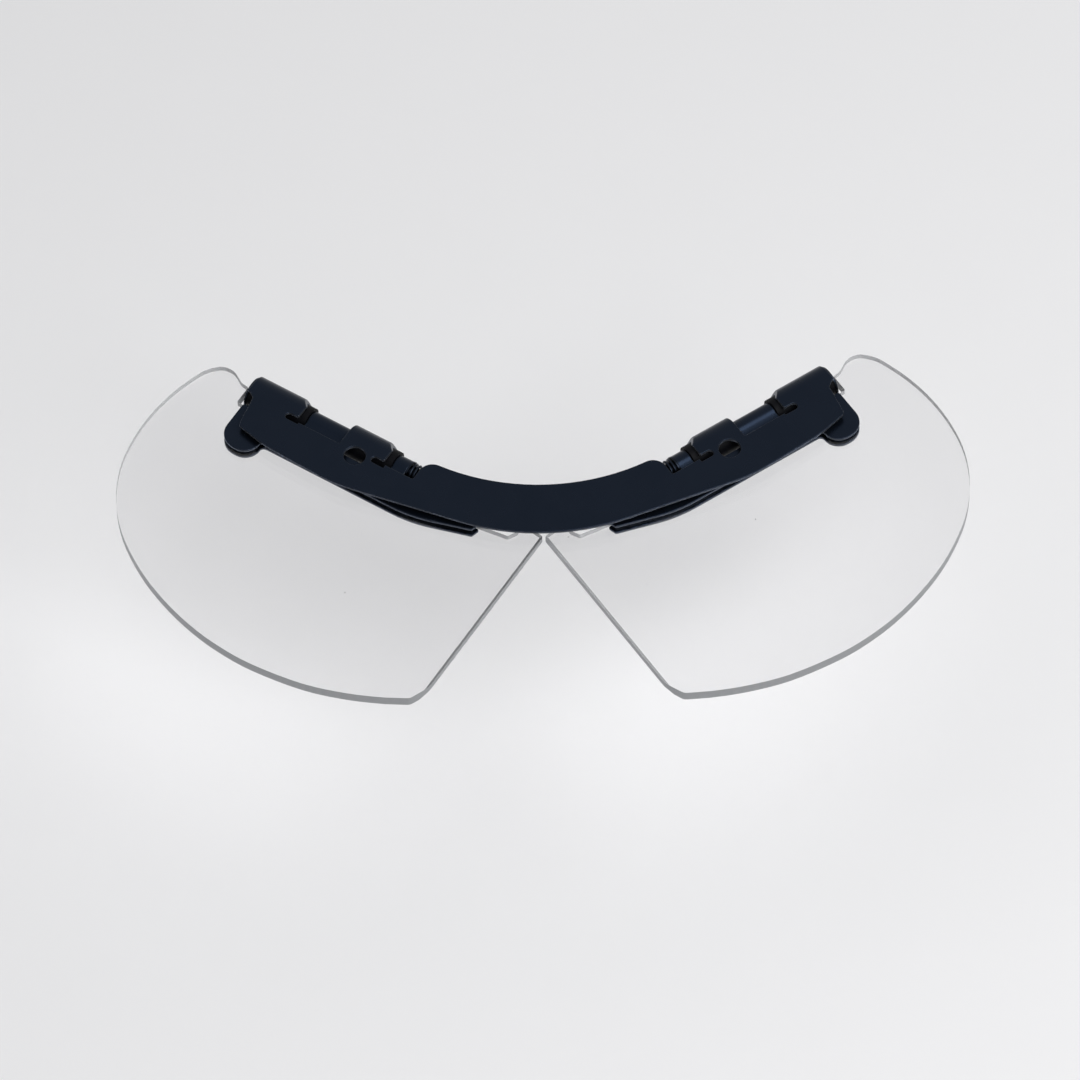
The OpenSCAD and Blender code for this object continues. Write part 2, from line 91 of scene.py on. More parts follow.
NODES = frame["nodes"]
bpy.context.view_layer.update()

# The photograph's frame, in pixels, and where the two hinge axes cross in it
PHOTO_SIZE = 1080
CROSSING_PX = (544.0, 544.5)

# The camera's sensor, in millimetres, and the farthest that it sees
SENSOR = 36
FARTHEST = 20

# The lamp's side, its place, and the point that it looks at
LAMP_SIZE = 0.9
LAMP_PLACE = Vector((0.45, -0.35, 0.95))
LAMP_TARGET = Vector((0, -0.03, 0))


# Geometry of the hinges

def hinge(side):
    """A point on the hinge axis of one side, and its outward, forward and upward directions.

    Outward is the joint's axis, or its opposite on the left. Forward is square to it and to
    the upward direction.
    """
    joint = next(j for j in frame["joints"] if j["name"] == f"{side}_flip")
    hand = 1 if side == "right" else -1
    outward = hand * np.array(joint["axis"], float)
    up = np.array([0.0, 0.0, 1.0])
    forward = hand * np.cross(outward, up)
    return np.array(joint["pos_m"], float), outward, forward, up


def points_of(node):
    """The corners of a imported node's mesh, as an array of rows of x, y and z."""
    mesh = NODES[node].data
    flat = np.zeros(len(mesh.vertices) * 3)
    mesh.vertices.foreach_get("co", flat)
    return flat.reshape(-1, 3)


def along_and_radius(node, side):
    """The extent of a node along its hinge axis, and its largest distance from that axis."""
    origin, outward, _, _ = hinge(side)
    offset = points_of(node) - origin
    along = offset @ outward
    radius = np.linalg.norm(offset - along[:, None] * outward, axis=1)
    return along.min(), along.max(), radius.max()


# Meshes

def new_piece(name, vertices, faces):
    """A smooth mesh object at the origin from rows of points and rows of corner numbers."""
    mesh = bpy.data.meshes.new(name)
    mesh.from_pydata(vertices.tolist(), [], faces.tolist())
    mesh.validate()
    mesh.polygons.foreach_set("use_smooth", np.ones(len(mesh.polygons), bool))
    piece = bpy.data.objects.new(name, mesh)
    bpy.context.scene.collection.objects.link(piece)
    return piece


def merged_shape(node):
    """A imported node's mesh as a bmesh, its loose triangles joined to whole faces."""
    shape = bmesh.new()
    shape.from_mesh(NODES[node].data)
    bmesh.ops.remove_doubles(shape, verts=shape.verts, dist=WELD)
    bmesh.ops.dissolve_limit(shape, angle_limit=FLAT, verts=shape.verts, edges=shape.edges)
    return shape


def piece_of(shape, name, sharp=SHARP):
    """A smooth mesh object made from a bmesh, with its sharp edges marked."""
    mesh = bpy.data.meshes.new(name)
    shape.to_mesh(mesh)
    shape.free()
    # The loose triangles' own normals no longer fit the joined faces
    if "custom_normal" in mesh.attributes:
        mesh.attributes.remove(mesh.attributes["custom_normal"])
    mesh.polygons.foreach_set("use_smooth", np.ones(len(mesh.polygons), bool))
    mesh.set_sharp_from_angle(angle=sharp)
    piece = bpy.data.objects.new(name, mesh)
    bpy.context.scene.collection.objects.link(piece)
    return piece


def rounded_copy(node, name, radius, segments):
    """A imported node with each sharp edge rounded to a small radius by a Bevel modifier."""
    piece = piece_of(merged_shape(node), name)
    bevel = piece.modifiers.new("broken edges", "BEVEL")
    bevel.width = radius
    bevel.segments = segments
    bevel.limit_method = "ANGLE"
    bevel.angle_limit = SHARP
    bevel.use_clamp_overlap = False
    bevel.harden_normals = True
    return piece


def level_copy(node, name):
    """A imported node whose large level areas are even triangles, so that they shade flat."""
    shape = merged_shape(node)
    for up in (1, -1):
        refill_level(shape, up)
    return piece_of(shape, name, LENS_SHARP)


def refill_level(shape, up):
    """Fills the level area that faces up (1) or down (-1) anew with even triangles.

    An outline with holes is no sound face for Blender, so the area's own rim is filled.
    """
    level = {face for face in shape.faces if face.normal.z * up > LEVEL}
    rim = [edge for edge in shape.edges if len(level.intersection(edge.link_faces)) == 1]
    bmesh.ops.delete(shape, geom=list(level), context="FACES")
    bmesh.ops.triangle_fill(shape, use_beauty=True, edges=rim, normal=(0, 0, up))


def tube(centres, outs, sides, radius):
    """A round tube along a path, open at both ends, as rows of points and rows of corners.

    Ring i has its middle at centres[i]. Its corners are the middle plus radius times
    (cos b * out + sin b * across), where across is square to the path and to out.
    """
    ahead = np.gradient(centres, axis=0)
    ahead /= np.linalg.norm(ahead, axis=1)[:, None]
    across = np.cross(ahead, outs)
    across /= np.linalg.norm(across, axis=1)[:, None]
    outs = np.cross(across, ahead)
    turn = np.linspace(0, 2 * np.pi, sides, endpoint=False)[None, :, None]
    rings = centres[:, None, :] + radius * (
        np.cos(turn) * outs[:, None, :] + np.sin(turn) * across[:, None, :])
    i, k = np.meshgrid(np.arange(len(centres) - 1), np.arange(sides), indexing="ij")
    a = i * sides + k
    b = i * sides + (k + 1) % sides
    quads = np.stack([a, b, b + sides, a + sides], axis=-1).reshape(-1, 4)
    return rings.reshape(-1, 3), quads


# Shader nodes

def link(tree, source, target):
    """Joins an output socket to an input socket."""
    tree.links.new(source, target)


def feed(tree, value, target):
    """Gives an input socket its value: another socket's, or a number or colour of its own."""
    if isinstance(value, bpy.types.NodeSocket):
        link(tree, value, target)
    else:
        target.default_value = value


def maths(tree, operation, a, b=0.5):
    """One step of arithmetic, each side a number or a socket."""
    node = tree.nodes.new("ShaderNodeMath")
    node.operation = operation
    for socket, value in zip(node.inputs, (a, b)):
        feed(tree, value, socket)
    return node.outputs[0]


def more(tree, base, mask, gain):
    """The value base + gain * mask."""
    return maths(tree, "ADD", base, maths(tree, "MULTIPLY", mask, gain))


def ramp(tree, value, low, high):
    """0 below low, 1 above high and a smooth rise, 3 t^2 - 2 t^3, between them."""
    node = tree.nodes.new("ShaderNodeMapRange")
    node.interpolation_type = "SMOOTHSTEP"
    link(tree, value, node.inputs["Value"])
    node.inputs["From Min"].default_value = low
    node.inputs["From Max"].default_value = high
    return node.outputs["Result"]


def blend_colors(tree, share, a, b):
    """The colour (1 - share) * a + share * b, where a and b are three numbers or a socket."""
    node = tree.nodes.new("ShaderNodeMix")
    node.data_type = "RGBA"
    link(tree, share, node.inputs["Factor"])
    for place, color in zip(MIX_COLORS_IN, (a, b)):
        is_socket = isinstance(color, bpy.types.NodeSocket)
        feed(tree, color if is_socket else (*color, 1.0), node.inputs[place])
    return node.outputs[MIX_COLOR_OUT]


def new_group(name, inputs, outputs):
    """A shader node group with float inputs and the outputs named.

    It comes back as its tree, its input node and its output node.
    """
    tree = bpy.data.node_groups.new(name, "ShaderNodeTree")
    for label, value in inputs:
        socket = tree.interface.new_socket(label, in_out="INPUT", socket_type="NodeSocketFloat")
        socket.default_value = value
    for label, kind in outputs:
        tree.interface.new_socket(label, in_out="OUTPUT", socket_type=kind)
    return tree, tree.nodes.new("NodeGroupInput"), tree.nodes.new("NodeGroupOutput")


def use_group(tree, name, **values):
    """Places a group in a material with its own values."""
    node = tree.nodes.new("ShaderNodeGroup")
    node.node_tree = bpy.data.node_groups[name]
    for key, value in values.items():
        node.inputs[key].default_value = value
    return node


def object_point(tree):
    """The place on the piece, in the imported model's frame."""
    return tree.nodes.new("ShaderNodeTexCoord").outputs["Object"]


def noise(tree, scale, detail, rough):
    """Cloudy noise from 0 to 1, with scale waves in a metre."""
    node = tree.nodes.new("ShaderNodeTexNoise")
    link(tree, object_point(tree), node.inputs["Vector"])
    for key, value in (("Scale", scale), ("Detail", detail), ("Roughness", rough)):
        feed(tree, value, node.inputs[key])
    return node.outputs["Fac"]


def make_rim_wear_and_highlight():
    """Mask of the sharp rims, where the coat is abraded and a highlight is painted: where a rounded
    normal leaves the true one, broken up by noise.
    """
    tree, given, out = new_group(
        "rim_wear_and_highlight", [("Radius", 0.0004), ("Breakup", 0.5)], [("Mask", "NodeSocketFloat")])
    bevel = tree.nodes.new("ShaderNodeBevel")
    bevel.samples = 6
    link(tree, given.outputs["Radius"], bevel.inputs["Radius"])
    true_normal = tree.nodes.new("ShaderNodeNewGeometry").outputs["Normal"]
    dot = tree.nodes.new("ShaderNodeVectorMath")
    dot.operation = "DOT_PRODUCT"
    link(tree, true_normal, dot.inputs[0])
    link(tree, bevel.outputs["Normal"], dot.inputs[1])
    rim = ramp(tree, maths(tree, "SUBTRACT", 1.0, dot.outputs["Value"]), low=0.01, high=0.12)
    spots = ramp(tree, noise(tree, 900.0, detail=4.0, rough=0.65), low=0.38, high=0.62)
    kept = maths(tree, "SUBTRACT", 1.0, maths(
        tree, "MULTIPLY", given.outputs["Breakup"], maths(tree, "SUBTRACT", 1.0, spots)))
    link(tree, maths(tree, "MULTIPLY", rim, kept), out.inputs["Mask"])


def make_coat_skin():
    """Skin of a sprayed coat: fine peel and slow waves in its height, and slow patches."""
    tree, given, out = new_group(
        "coat_skin", [("Peel", 2200.0), ("Wave", 160.0)],
        [("Height", "NodeSocketFloat"), ("Patches", "NodeSocketFloat")])
    peel = noise(tree, given.outputs["Peel"], detail=2.0, rough=0.5)
    wave = noise(tree, given.outputs["Wave"], detail=2.0, rough=0.5)
    height = maths(tree, "ADD", maths(tree, "MULTIPLY", peel, 0.5), wave)
    link(tree, height, out.inputs["Height"])
    patches = ramp(tree, noise(tree, 70.0, detail=5.0, rough=0.6), low=0.3, high=0.7)
    link(tree, patches, out.inputs["Patches"])


def make_specks():
    """Sparse round specks: near the points of a cell pattern, in few of its cells."""
    tree, given, out = new_group(
        "specks", [("Scale", 60.0), ("Size", 0.02), ("Share", 0.1)],
        [("Mask", "NodeSocketFloat")])
    cells = tree.nodes.new("ShaderNodeTexVoronoi")
    link(tree, object_point(tree), cells.inputs["Vector"])
    link(tree, given.outputs["Scale"], cells.inputs["Scale"])
    near = maths(tree, "LESS_THAN", cells.outputs["Distance"], given.outputs["Size"])
    split = tree.nodes.new("ShaderNodeSeparateColor")
    link(tree, cells.outputs["Color"], split.inputs["Color"])
    chosen = maths(tree, "LESS_THAN", split.outputs["Red"], given.outputs["Share"])
    link(tree, maths(tree, "MULTIPLY", near, chosen), out.inputs["Mask"])


def make_cut_edge():
    """Mask of the upright cut faces of the flat sheets, which lie clear of the hinge axis.

    The rolled knuckles and loops stand upright too, but only within Clear of the axis' height.
    """
    tree, given, out = new_group(
        "cut_edge", [("Steep", 0.3), ("Axis", 0.0), ("Clear", 0.00155)],
        [("Mask", "NodeSocketFloat")])
    coords = tree.nodes.new("ShaderNodeTexCoord")
    slope = tree.nodes.new("ShaderNodeSeparateXYZ")
    place = tree.nodes.new("ShaderNodeSeparateXYZ")
    link(tree, coords.outputs["Normal"], slope.inputs["Vector"])
    link(tree, coords.outputs["Object"], place.inputs["Vector"])
    steepness = maths(tree, "ABSOLUTE", slope.outputs["Z"])
    upright = maths(tree, "LESS_THAN", steepness, given.outputs["Steep"])
    height = maths(tree, "SUBTRACT", place.outputs["Z"], given.outputs["Axis"])
    flat = maths(tree, "GREATER_THAN", maths(tree, "ABSOLUTE", height), given.outputs["Clear"])
    link(tree, maths(tree, "MULTIPLY", upright, flat), out.inputs["Mask"])


def shaded(color, share):
    """A colour times a number, held at 1."""
    return tuple(min(1.0, share * part) for part in color)


def new_material(name):
    """The node tree and the Principled shader of a new material."""
    material = bpy.data.materials.new(name)
    material.use_nodes = True
    return material.node_tree, material.node_tree.nodes["Principled BSDF"]


def bump(tree, shader, height, distance):
    """Relief in a shader's normal, distance deep where the height is 1."""
    node = tree.nodes.new("ShaderNodeBump")
    node.inputs["Distance"].default_value = distance
    node.inputs["Strength"].default_value = 1.0
    link(tree, height, node.inputs["Height"])
    link(tree, node.outputs["Normal"], shader.inputs["Normal"])


def see_through(tree, shader, where, tint):
    """Shows a plain tinted look-through in place of the shader where the mask says so."""
    clear = tree.nodes.new("ShaderNodeBsdfTransparent")
    clear.inputs["Color"].default_value = (*tint, 1.0)
    mix = tree.nodes.new("ShaderNodeMixShader")
    for place, source in enumerate((where, shader.outputs[0], clear.outputs[0])):
        link(tree, source, mix.inputs[place])
    link(tree, mix.outputs[0], tree.nodes["Material Output"].inputs["Surface"])


def black_steel(settings):
    """Blue-black satin coat over steel, thin on the cut faces, abraded along the rims, with a
    painted highlight on the rims.
    """
    tree, shader = new_material("blue_black_coat")
    skin = use_group(tree, "coat_skin")
    rim = use_group(tree, "rim_wear_and_highlight", Radius=settings.wear_and_highlight_width, Breakup=0.6)
    cut = use_group(tree, "cut_edge", Axis=float(hinge("right")[0][2]))
    patches = skin.outputs["Patches"]
    coat = blend_colors(tree, patches, settings.coat_color, settings.coat_patch_color)
    thin = maths(tree, "MULTIPLY", cut.outputs["Mask"], settings.cut_wear)
    # The rims get a lighter, partly metal colour: abrasion of the coat, and a painted highlight
    # along them
    rubbed_and_highlit = maths(tree, "MULTIPLY", rim.outputs["Mask"], settings.wear_and_highlight)
    worn_and_highlit = maths(tree, "MAXIMUM", thin, rubbed_and_highlit)
    link(tree, blend_colors(tree, worn_and_highlit, coat, settings.worn_and_highlight_color), shader.inputs["Base Color"])
    link(tree, worn_and_highlit, shader.inputs["Metallic"])
    rough = more(tree, settings.roughness, patches, gain=0.06)
    link(tree, more(tree, rough, worn_and_highlit, gain=0.1), shader.inputs["Roughness"])
    shader.inputs["IOR"].default_value = settings.gloss_ior
    shader.inputs["Specular Tint"].default_value = (*settings.gloss_tint, 1.0)
    bump(tree, shader, skin.outputs["Height"], COAT_RELIEF)


def clear_lens(settings):
    """Clear polished sheet with faint haze, smears and dust; lamps shine through it."""
    tree, shader = new_material("clear_sheet")
    dust = use_group(tree, "specks", Scale=90.0, Size=0.018, Share=0.6)
    haze = noise(tree, 35.0, detail=4.0, rough=0.6)
    sheet = blend_colors(tree, haze, settings.tint, shaded(settings.tint, 0.99))
    dusty = maths(tree, "MULTIPLY", dust.outputs["Mask"], DUST_COVER)
    link(tree, blend_colors(tree, dusty, sheet, DUST_COLOR), shader.inputs["Base Color"])
    smears = ramp(tree, noise(tree, 60.0, detail=6.0, rough=0.7), low=0.5, high=0.8)
    link(tree, maths(tree, "MULTIPLY", smears, SMEAR_ROUGHNESS), shader.inputs["Roughness"])
    shader.inputs["IOR"].default_value = settings.ior
    shader.inputs["Transmission Weight"].default_value = 1.0
    shadow = tree.nodes.new("ShaderNodeLightPath").outputs["Is Shadow Ray"]
    see_through(tree, shader, shadow, settings.lamp_tint)


def sawn_edge(settings):
    """Cut faces of the clear sheet: matt and grey, with fine saw marks."""
    tree, shader = new_material("sawn_edge")
    marks = noise(tree, 700.0, detail=4.0, rough=0.6)
    shade = shaded(settings.edge_color, 0.82)
    link(tree, blend_colors(tree, marks, settings.edge_color, shade), shader.inputs["Base Color"])
    link(tree, more(tree, settings.edge_roughness, marks, gain=0.1), shader.inputs["Roughness"])
    shader.inputs["IOR"].default_value = settings.ior
    shader.inputs["Transmission Weight"].default_value = 0.3
    bump(tree, shader, marks, FINE_RELIEF)


def turned_steel(name, color, roughness, grain):
    """Blackened steel with fine turning marks, dull patches, and lighter rims: abraded metal with a
    painted highlight.
    """
    tree, shader = new_material(name)
    rim = use_group(tree, "rim_wear_and_highlight", Radius=0.0002, Breakup=0.4)
    dull = ramp(tree, noise(tree, 420.0, detail=4.0, rough=0.6), low=0.35, high=0.75)
    base = blend_colors(tree, dull, color, shaded(color, 0.72))
    # Rims a third lighter: abrasion and a painted highlight
    bare_and_highlit = blend_colors(tree, rim.outputs["Mask"], base, shaded(color, 1.35))
    link(tree, bare_and_highlit, shader.inputs["Base Color"])
    shader.inputs["Metallic"].default_value = 1.0
    link(tree, more(tree, roughness, dull, gain=0.15), shader.inputs["Roughness"])
    bump(tree, shader, noise(tree, grain, detail=3.0, rough=0.6), FINE_RELIEF)


def nylon(settings):
    """Black nylon: dull, slightly mottled, with fine machining marks."""
    tree, shader = new_material("black_nylon")
    mottle = noise(tree, 300.0, detail=4.0, rough=0.6)
    shade = shaded(settings.nylon_color, 0.85)
    link(tree, blend_colors(tree, mottle, settings.nylon_color, shade), shader.inputs["Base Color"])
    link(tree, more(tree, base=0.45, mask=mottle, gain=0.2), shader.inputs["Roughness"])
    shader.inputs["Specular IOR Level"].default_value = 0.12
    bump(tree, shader, noise(tree, 2500.0, detail=2.0, rough=0.5), FINE_RELIEF)


def dress(piece, finish):
    """Gives a whole piece the material of that name."""
    piece.data.materials.clear()
    piece.data.materials.append(bpy.data.materials[finish])


def dress_cut_faces(piece, finish):
    """Gives the faces that stand upright on a flat sheet a material of their own."""
    mesh = piece.data
    mesh.materials.append(bpy.data.materials[finish])
    normals = np.zeros(len(mesh.polygons) * 3)
    mesh.polygons.foreach_get("normal", normals)
    cut = np.abs(normals.reshape(-1, 3)[:, 2]) < UPRIGHT
    mesh.polygons.foreach_set("material_index", cut.astype(np.int32))


def dress_node(node, finish):
    """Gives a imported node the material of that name. Its mesh stays as it is."""
    material = bpy.data.materials[finish]
    for slot in NODES[node].material_slots:
        slot.material = material
    if not NODES[node].material_slots:
        NODES[node].data.materials.append(material)


# Settings

class SteelSettings(bpy.types.PropertyGroup):
    """The black sheet steel of the bracket and the clamps."""

    coat_color: bpy.props.FloatVectorProperty(
        name="Coat", description="Colour of the blue-black coat", subtype="COLOR",
        default=(0.0020, 0.0030, 0.0050), min=0, max=1)
    coat_patch_color: bpy.props.FloatVectorProperty(
        name="Coat patches", description="Colour of the coat's slow patches", subtype="COLOR",
        default=(0.0028, 0.0038, 0.0060), min=0, max=1)
    gloss_tint: bpy.props.FloatVectorProperty(
        name="Gloss tint", description="Colour of what the coat mirrors face on", subtype="COLOR",
        default=(0.36, 0.53, 0.90), min=0, max=1)
    # Lighter colour of the abraded coat on the cut faces and rims; on the rims it is also a painted
    # highlight
    worn_and_highlight_color: bpy.props.FloatVectorProperty(
        name="Worn rim", description="Colour of the steel where the coat is thin", subtype="COLOR",
        default=(0.16, 0.17, 0.19), min=0, max=1)
    # Share of the lighter rim colour: abrasion and a painted rim highlight
    wear_and_highlight: bpy.props.FloatProperty(
        name="Wear", description="How far the rims are rubbed", default=0.6, min=0, max=1)
    cut_wear: bpy.props.FloatProperty(
        name="Cut faces", description="How thin the coat is on the cut faces", default=0.35,
        min=0, max=1)
    # Reach of the abrasion and painted rim highlight from a rim
    wear_and_highlight_width: bpy.props.FloatProperty(
        name="Wear width", description="Reach of the wear from a rim", default=0.00035,
        unit="LENGTH", subtype="DISTANCE", min=0.0001, max=0.002)
    roughness: bpy.props.FloatProperty(
        name="Roughness", description="Roughness of the coat", default=0.24, min=0, max=1)
    gloss_ior: bpy.props.FloatProperty(
        name="Gloss", description="Index of refraction of the coat", default=1.45, min=1, max=2)
    rim_radius: bpy.props.FloatProperty(
        name="Rim radius", description="Radius of the sheet's broken edges", default=0.00022,
        unit="LENGTH", subtype="DISTANCE", min=0.00005, max=0.0004)


class LensSettings(bpy.types.PropertyGroup):
    """The clear sheet of the two lens halves."""

    tint: bpy.props.FloatVectorProperty(
        name="Tint", description="Colour of the clear sheet", subtype="COLOR",
        default=(0.945, 0.944, 0.948), min=0, max=1)
    edge_color: bpy.props.FloatVectorProperty(
        name="Edge", description="Colour of the sawn edges", subtype="COLOR",
        default=(0.42, 0.43, 0.45), min=0, max=1)
    lamp_tint: bpy.props.FloatVectorProperty(
        name="Lamp light", description="Share of the lamp's light that passes", subtype="COLOR",
        default=(0.96, 0.96, 0.96), min=0, max=1)
    edge_roughness: bpy.props.FloatProperty(
        name="Edge roughness", description="Roughness of the sawn edges", default=0.45,
        min=0, max=1)
    ior: bpy.props.FloatProperty(
        name="Refraction", description="Index of refraction of the sheet", default=1.58,
        min=1, max=2)


class HardwareSettings(bpy.types.PropertyGroup):
    """The pins, washers, rings, springs and bushes."""

    blackened_color: bpy.props.FloatVectorProperty(
        name="Blackened steel", description="Colour of pins and washers", subtype="COLOR",
        default=(0.020, 0.026, 0.038), min=0, max=1)
    spring_color: bpy.props.FloatVectorProperty(
        name="Spring steel", description="Colour of springs and rings", subtype="COLOR",
        default=(0.024, 0.031, 0.045), min=0, max=1)
    nylon_color: bpy.props.FloatVectorProperty(
        name="Nylon", description="Colour of the bushes", subtype="COLOR",
        default=(0.0020, 0.0024, 0.0040), min=0, max=1)
    wire: bpy.props.FloatProperty(
        name="Wire", description="Diameter of the springs' wire", default=0.0007,
        unit="LENGTH", subtype="DISTANCE", min=0.0004, max=0.0008)
    turns: bpy.props.FloatProperty(
        name="Turns", description="Number of turns of a spring", default=4.5, min=3, max=6)


class StudioSettings(bpy.types.PropertyGroup):
    """Floor, light and camera."""

    floor_color: bpy.props.FloatVectorProperty(
        name="Floor", description="Colour of the floor", subtype="COLOR",
        default=(0.87, 0.87, 0.882), min=0, max=1)
    sky: bpy.props.FloatProperty(
        name="Sky", description="Strength of the even light all round", default=0.52, min=0, max=2)
    key_power: bpy.props.FloatProperty(
        name="Key lamp", description="Power of the large lamp above", default=7.8,
        unit="POWER", min=0, max=500)
    elevation: bpy.props.FloatProperty(
        name="Elevation", description="Height angle of the camera", default=math.radians(55.5),
        subtype="ANGLE", unit="ROTATION")
    roll: bpy.props.FloatProperty(
        name="Roll", description="Turn of the camera about its view", default=math.radians(1.1),
        subtype="ANGLE", unit="ROTATION")
    distance: bpy.props.FloatProperty(
        name="Distance", description="Camera to the crossing of the axes", default=3.0,
        unit="LENGTH", subtype="DISTANCE", min=0.5, max=10)
    pixel: bpy.props.FloatProperty(
        name="Pixel", description="Size of one pixel of the picture at the object",
        default=0.00027, unit="LENGTH", subtype="DISTANCE", precision=6)


# Operators

class EYESHIELD_OT_bracket(bpy.types.Operator):
    """Finish the bracket: one stamped sheet with two rolled knuckles a side"""

    bl_idname = "eye_shield.bracket"
    bl_label = "Bracket"

    def execute(self, context):
        steel = context.scene.eye_shield_steel
        piece = rounded_copy("mounting_bracket", "bracket_sheet", steel.rim_radius, segments=3)
        dress(piece, "blue_black_coat")
        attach(piece, "bracket")
        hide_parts("mounting_bracket")
        return {"FINISHED"}


class EYESHIELD_OT_clamps(bpy.types.Operator):
    """Finish the folded clamps of both lens halves and their rivets"""

    bl_idname = "eye_shield.clamps"
    bl_label = "Clamps and rivets"

    def execute(self, context):
        steel = context.scene.eye_shield_steel
        for side in SIDES:
            piece = rounded_copy(
                f"{side}_lens_clamp", f"{side}_clamp_sheet", steel.rim_radius, segments=2)
            dress(piece, "blue_black_coat")
            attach(piece, f"{side}_lens_half")
            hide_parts(f"{side}_lens_clamp")
            dress_node(f"{side}_lens_rivets", "blue_black_coat")
        return {"FINISHED"}


class EYESHIELD_OT_lenses(bpy.types.Operator):
    """Finish the two clear lens halves with their sawn edges"""

    bl_idname = "eye_shield.lenses"
    bl_label = "Lenses"

    def execute(self, context):
        for side in SIDES:
            piece = level_copy(f"{side}_lens", f"{side}_lens_sheet")
            dress(piece, "clear_sheet")
            dress_cut_faces(piece, "sawn_edge")
            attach(piece, f"{side}_lens_half")
            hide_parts(f"{side}_lens")
        return {"FINISHED"}


class EYESHIELD_OT_springs(bpy.types.Operator):
    """Wind the two friction springs"""

    bl_idname = "eye_shield.springs"
    bl_label = "Springs"

    def execute(self, context):
        for side in SIDES:
            piece = wind_spring(side, context.scene.eye_shield_hardware)
            dress(piece, "spring_wire")
            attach(piece, "bracket")
            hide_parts(f"{side}_tension_spring")
        return {"FINISHED"}


def wind_spring(side, hardware):
    """One coil round the hinge axis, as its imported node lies.

    Its middle line at turn t lies on the axis at start + t * length, and stands off it by the
    coil's radius at the angle 2 * pi * turns * t.
    """
    origin, outward, forward, up = hinge(side)
    start, end, reach = along_and_radius(f"{side}_tension_spring", side)
    radius = hardware.wire / 2
    t = np.linspace(0, 1, int(hardware.turns * WIRE_STEPS) + 1)[:, None]
    angle = 2 * np.pi * hardware.turns * t
    out = np.cos(angle) * forward + np.sin(angle) * up
    along = start + radius + t * (end - start - 2 * radius)
    centres = origin + along * outward + (reach - radius) * out
    piece = new_piece(f"{side}_coil", *tube(centres, out, WIRE_SIDES, radius))
    close_ends(piece)
    return piece


def close_ends(piece):
    """Fills the open rings of a tube and turns all faces outwards."""
    shape = bmesh.new()
    shape.from_mesh(piece.data)
    bmesh.ops.holes_fill(shape, edges=shape.edges, sides=0)
    bmesh.ops.recalc_face_normals(shape, faces=shape.faces)
    shape.to_mesh(piece.data)
    shape.free()


class EYESHIELD_OT_hardware(bpy.types.Operator):
    """Finish the pins, washers, rings and bushes"""

    bl_idname = "eye_shield.hardware"
    bl_label = "Hinge hardware"

    def execute(self, context):
        finishes = {
            "hinge_pin": "blackened_pin",
            "head_washer": "blackened_pin",
            "spring_washer": "blackened_pin",
            "retaining_ring": "spring_wire",
            "inner_bush": "black_nylon",
            "outer_bush": "black_nylon",
        }
        for side in SIDES:
            for node, finish in finishes.items():
                dress_node(f"{side}_{node}", finish)
        return {"FINISHED"}


class EYESHIELD_OT_materials(bpy.types.Operator):
    """Make the finishes that all the pieces share"""

    bl_idname = "eye_shield.materials"
    bl_label = "Finishes"

    def execute(self, context):
        scene = context.scene
        make_rim_wear_and_highlight()
        make_coat_skin()
        make_specks()
        make_cut_edge()
        black_steel(scene.eye_shield_steel)
        clear_lens(scene.eye_shield_lens)
        sawn_edge(scene.eye_shield_lens)
        hardware = scene.eye_shield_hardware
        turned_steel(
            "blackened_pin", tuple(hardware.blackened_color), roughness=0.28, grain=1800.0)
        turned_steel("spring_wire", tuple(hardware.spring_color), roughness=0.34, grain=2600.0)
        nylon(hardware)
        return {"FINISHED"}


class EYESHIELD_OT_stage(bpy.types.Operator):
    """Lay the floor, hang the lamps and set up the camera"""

    bl_idname = "eye_shield.stage"
    bl_label = "Stage"

    def execute(self, context):
        studio = context.scene.eye_shield_studio
        lay_floor(studio)
        light_sky(studio)
        hang_lamp(studio)
        place_camera(studio)
        return {"FINISHED"}


def lowest_reach():
    """Height of the lowest point that a lens gets to, hanging straight down from its hinge.

    It is the axis' height less the most that a corner of the lens lies forward of the axis.
    """
    reaches = []
    for side in SIDES:
        origin, _, forward, _ = hinge(side)
        reaches.append(origin[2] - ((points_of(f"{side}_lens") - origin) @ forward).max())
    return min(reaches)


def lay_floor(studio):
    """A wide level sheet, low enough for both lenses to hang down above it.

    It is the plane z = lowest reach - gap over a square grid of x and y.
    """
    half, gap, cells = 4.0, 0.0005, 8
    line = np.linspace(-half, half, cells + 1)
    x, y = np.meshgrid(line, line)
    points = np.stack([x, y, np.full_like(x, lowest_reach() - gap)], axis=-1).reshape(-1, 3)
    i, k = np.meshgrid(np.arange(cells), np.arange(cells), indexing="ij")
    a = (i * len(line) + k).ravel()
    quads = np.stack([a, a + 1, a + 1 + len(line), a + len(line)], axis=-1)
    floor = new_piece("floor", points, quads)
    tree, shader = new_material("floor")
    grain = noise(tree, 40.0, detail=4.0, rough=0.6)
    shade = shaded(studio.floor_color, 0.985)
    link(tree, blend_colors(tree, grain, studio.floor_color, shade), shader.inputs["Base Color"])
    shader.inputs["Roughness"].default_value = 0.9
    shader.inputs["Specular IOR Level"].default_value = 0.2
    from_below = tree.nodes.new("ShaderNodeNewGeometry").outputs["Backfacing"]
    see_through(tree, shader, from_below, (1.0, 1.0, 1.0))
    dress(floor, "floor")


def hang_lamp(studio):
    """A large soft lamp that looks at the object and doesn't show itself to the camera."""
    lamp = bpy.data.lights.new("lamp_above", "AREA")
    lamp.shape = "RECTANGLE"
    lamp.size = lamp.size_y = LAMP_SIZE
    lamp.energy = studio.key_power
    holder = bpy.data.objects.new("lamp_above", lamp)
    holder.location = LAMP_PLACE
    holder.rotation_mode = "QUATERNION"
    holder.rotation_quaternion = (LAMP_TARGET - LAMP_PLACE).to_track_quat("-Z", "Y")
    holder.visible_camera = False
    bpy.context.scene.collection.objects.link(holder)


